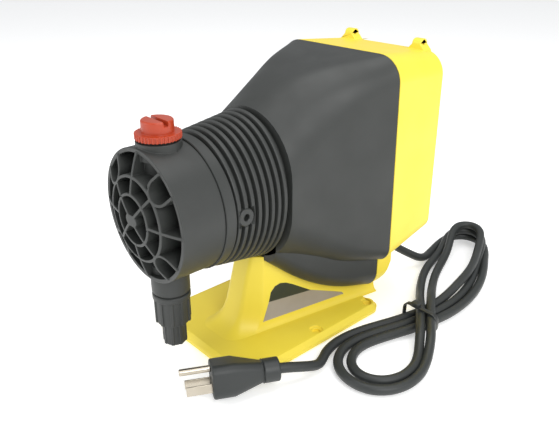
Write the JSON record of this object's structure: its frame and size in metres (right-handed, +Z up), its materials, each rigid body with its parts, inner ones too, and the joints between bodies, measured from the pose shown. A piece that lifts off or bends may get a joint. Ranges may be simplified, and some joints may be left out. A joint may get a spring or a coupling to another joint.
{
  "type": "diaphragm metering pump",
  "caption": "Solenoid diaphragm metering pump: round webbed liquid head, finned power unit, yellow control housing and wedge foot, with a tied mains cord.",
  "frame": {"origin": "centre of the four foot holes, on the floor plane", "axes": "+Z up, -Y towards the liquid head, +X to the right seen from the liquid head's side"},
  "size_m": [0.2065, 0.367, 0.2158],
  "materials": {
    "black_moulding": "satin moulded",
    "yellow_plastic": "satin moulded",
    "red_plastic": "moulded",
    "white_plastic": "machined",
    "panel_black": "fine grained",
    "knob_black": "satin",
    "board_green": "solder resist",
    "capacitor_sleeve": "shrink sleeve",
    "label_foil": "blank foil with a dark band",
    "dark_rubber": "moulded",
    "diaphragm_rubber": "moulded",
    "cord_black": "satin jacket",
    "ceramic_ball": "polished",
    "stainless": "brushed",
    "zinc_plate": "zinc plated",
    "nickel_blade": "nickel plated",
    "soft_iron": "machined",
    "transformer_iron": "varnished",
    "bronze": "sintered",
    "copper_winding": "enamelled wire"
  },
  "bodies": {
    "pump": {"pump_head": "black_moulding", "head_screws": "stainless", "head_washers": "stainless", "diaphragm": "diaphragm_rubber", "diaphragm_support": "black_moulding", "discharge_seat": "white_plastic", "discharge_cage": "white_plastic", "suction_gasket": "dark_rubber", "suction_valve_housing": "black_moulding", "suction_seat": "white_plastic", "suction_cage": "white_plastic", "power_unit_housing": "black_moulding", "shaft_wiper": "dark_rubber", "shaft_bushing": "bronze", "pole_plate": "soft_iron", "pole_piece": "soft_iron", "coil_bobbin": "white_plastic", "coil_winding": "copper_winding", "yoke_shell": "soft_iron", "yoke_rear_plate": "soft_iron", "return_spring": "stainless", "stop_bracket": "zinc_plate", "bracket_screws": "stainless", "rear_housing": "yellow_plastic", "housing_gasket": "dark_rubber", "control_panel": "panel_black", "case_screws": "stainless", "speed_potentiometer": "zinc_plate", "circuit_board": "board_green", "board_standoffs": "zinc_plate", "board_capacitor": "capacitor_sleeve", "board_transformer": "transformer_iron", "base": "yellow_plastic", "base_screws": "stainless", "label_plate": "label_foil", "cord_gland": "knob_black", "strain_relief": "cord_black", "cord_exit": "cord_black", "cord_hank": "cord_black", "cord_tie": "knob_black", "cord_tail": "cord_black", "plug_body": "cord_black", "plug_blades": "nickel_blade", "plug_ground_pin": "nickel_blade"},
    "cap_gasket": {"plug_gasket": "dark_rubber"},
    "vent_cap": {"vent_plug": "red_plastic"},
    "ferrule": {"tube_ferrule": "white_plastic"},
    "coupling": {"coupling_nut": "black_moulding"},
    "stroke_knob": {"stroke_knob": "knob_black", "stroke_shaft": "stainless"},
    "stroke_stop": {"stroke_stop": "bronze"},
    "armature": {"armature": "soft_iron", "armature_shaft": "stainless", "diaphragm_insert": "stainless"},
    "suction_ball": {"suction_ball": "ceramic_ball"},
    "discharge_ball": {"discharge_ball": "ceramic_ball"},
    "speed_knob": {"speed_knob": "knob_black", "speed_shaft": "stainless"}
  },
  "joints": [
    {"name": "cap_lift", "type": "slide", "parent": "pump", "child": "cap_gasket", "axis": [0, 0, 1], "range_m": [0, 0.003]},
    {"name": "vent_plug_turn", "type": "hinge", "parent": "cap_gasket", "child": "vent_cap", "pos_m": [0, -0.128, 0.18], "axis": [0, 0, 1], "range_deg": [0, 541.5]},
    {"name": "ferrule_drop", "type": "slide", "parent": "pump", "child": "ferrule", "axis": [0, 0, -1], "range_m": [0, 0.005]},
    {"name": "coupling_nut_turn", "type": "hinge", "parent": "ferrule", "child": "coupling", "pos_m": [0, -0.128, 0.027], "axis": [0, 0, -1], "range_deg": [0, 722]},
    {"name": "stroke_knob_turn", "type": "hinge", "parent": "pump", "child": "stroke_knob", "pos_m": [0, 0.09, 0.123], "axis": [0, -1, 0], "range_deg": [0, 301.4]},
    {"name": "stroke_limit", "type": "slide", "parent": "pump", "child": "stroke_stop", "axis": [0, -1, 0], "range_m": [0, 0.0013]},
    {"name": "armature_stroke", "type": "slide", "parent": "stroke_stop", "child": "armature", "axis": [0, -1, 0], "range_m": [0, 0.0015], "stiffness_N_per_m": 4000, "deforming": ["diaphragm", "return_spring"]},
    {"name": "suction_ball_lift", "type": "slide", "parent": "pump", "child": "suction_ball", "axis": [0, 0, 1], "range_m": [0, 0.002]},
    {"name": "discharge_ball_lift", "type": "slide", "parent": "pump", "child": "discharge_ball", "axis": [0, 0, 1], "range_m": [0, 0.002]},
    {"name": "speed_knob_turn", "type": "hinge", "parent": "pump", "child": "speed_knob", "pos_m": [0.022, 0.09, 0.17], "axis": [0, -1, 0], "range_deg": [0, 300]}
  ],
  "couplings": [
    {"joint": "vent_plug_turn", "follows": "cap_lift", "rad_per_m": 3141.6},
    {"joint": "coupling_nut_turn", "follows": "ferrule_drop", "rad_per_m": 2513.3},
    {"joint": "stroke_knob_turn", "follows": "stroke_limit", "rad_per_m": 4027.7}
  ]
}
